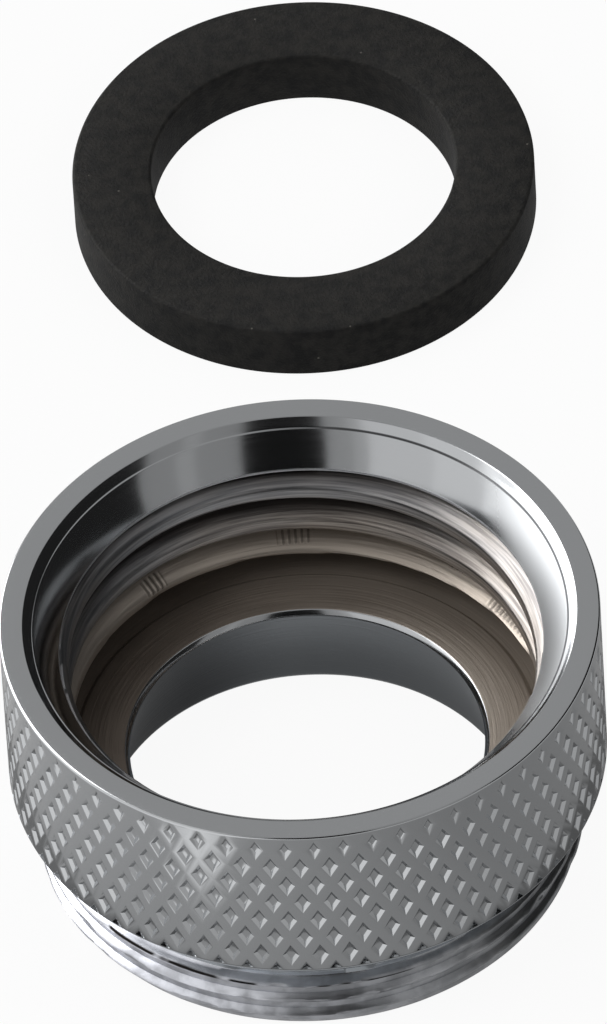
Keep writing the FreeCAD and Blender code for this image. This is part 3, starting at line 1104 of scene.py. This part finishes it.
print("floor", len(tree.nodes), "nodes")

# %% [markdown]
# ### World and lamps
#
# The world gives even light from all sides, at a level at which a colour renders about as it is written,
# and is plain white where it is seen. Two soft lamps, high on the left and lower on the right, give the
# rubber and the floor their shading. They are kept out of the mirror, which has the tent's window instead.

# %% World
WORLD_LEVEL = 0.45
world = bpy.data.worlds.new("studio")
bpy.context.scene.world = world
tree = empty_tree(world)
light_path = add(tree, "ShaderNodeLightPath").node
seen = light_path.outputs["Is Camera Ray"]
for ray in ("Is Glossy Ray", "Is Transmission Ray"):
    seen = add(tree, "ShaderNodeMath", {"operation": "ADD"}, {0: seen, 1: light_path.outputs[ray]})
strength = add(tree, "ShaderNodeMix", {"data_type": "FLOAT"}, {0: seen, 2: WORLD_LEVEL, 3: 1.0})
background = add(tree, "ShaderNodeBackground", {}, {"Color": (1, 1, 1, 1), "Strength": strength})
finish_with(tree, "ShaderNodeOutputWorld", background)
print("world level", WORLD_LEVEL)

# %% Lamps
LAMP_DISTANCE = 0.45
LAMP_WIDTH = 0.3


def lamp(name, direction, power):
    """A round soft lamp that shines from a direction on the object."""
    data = bpy.data.lights.new(name, "AREA")
    data.shape = "DISK"
    data.size = LAMP_WIDTH
    data.energy = power
    light = bpy.data.objects.new(name, data)
    bpy.context.collection.objects.link(light)
    light.location = Vector(direction).normalized() * LAMP_DISTANCE
    light.rotation_euler = Vector(direction).to_track_quat("Z", "Y").to_euler()
    light.visible_glossy = False
    print(name, power, "W")


lamp("soft_key", (-0.6, -0.2, 1.0), 0.75)
lamp("soft_fill", (0.7, -0.4, 0.8), 0.3)

# %% [markdown]
# ### Camera
#
# The photo was taken from far away with a long lens, since the two ends of the fitting keep nearly the same
# scale. The camera looks down at 46.6 degrees, is rolled a few degrees and stands a metre off. Its axes are
# worked out from the line of sight and set as one matrix, because a target constraint could not roll it.

# %% Camera
CAMERA_DISTANCE = 1.0
CAMERA_LENS = 882.8
CAMERA_TILT = math.radians(46.6)
CAMERA_ROLL = math.radians(3.6)
CAMERA_ASIDE = 0.165 * MM
CAMERA_ABOVE = 4.166 * MM
forward = Vector((0, math.cos(CAMERA_TILT), -math.sin(CAMERA_TILT)))
level_right = Vector((1, 0, 0))
level_up = level_right.cross(forward)
camera_right = level_right * math.cos(CAMERA_ROLL) - level_up * math.sin(CAMERA_ROLL)
camera_up = level_right * math.sin(CAMERA_ROLL) + level_up * math.cos(CAMERA_ROLL)
rim_centre = Vector((0, 0, BODY_HEIGHT * MM))
camera_data = bpy.data.cameras.new("photo_camera")
camera_data.lens = CAMERA_LENS
camera_data.clip_start = 0.1
camera_data.clip_end = 10
camera = bpy.data.objects.new("photo_camera", camera_data)
bpy.context.collection.objects.link(camera)
turned_axes = Matrix((camera_right, camera_up, -forward)).transposed().to_4x4()
turned_axes.translation = (
    rim_centre - forward * CAMERA_DISTANCE + camera_right * CAMERA_ASIDE + camera_up * CAMERA_ABOVE
)
camera.matrix_world = turned_axes
bpy.context.scene.camera = camera
bpy.context.scene.view_settings.view_transform = "Standard"
print(camera.name, "lens", CAMERA_LENS, "mm")
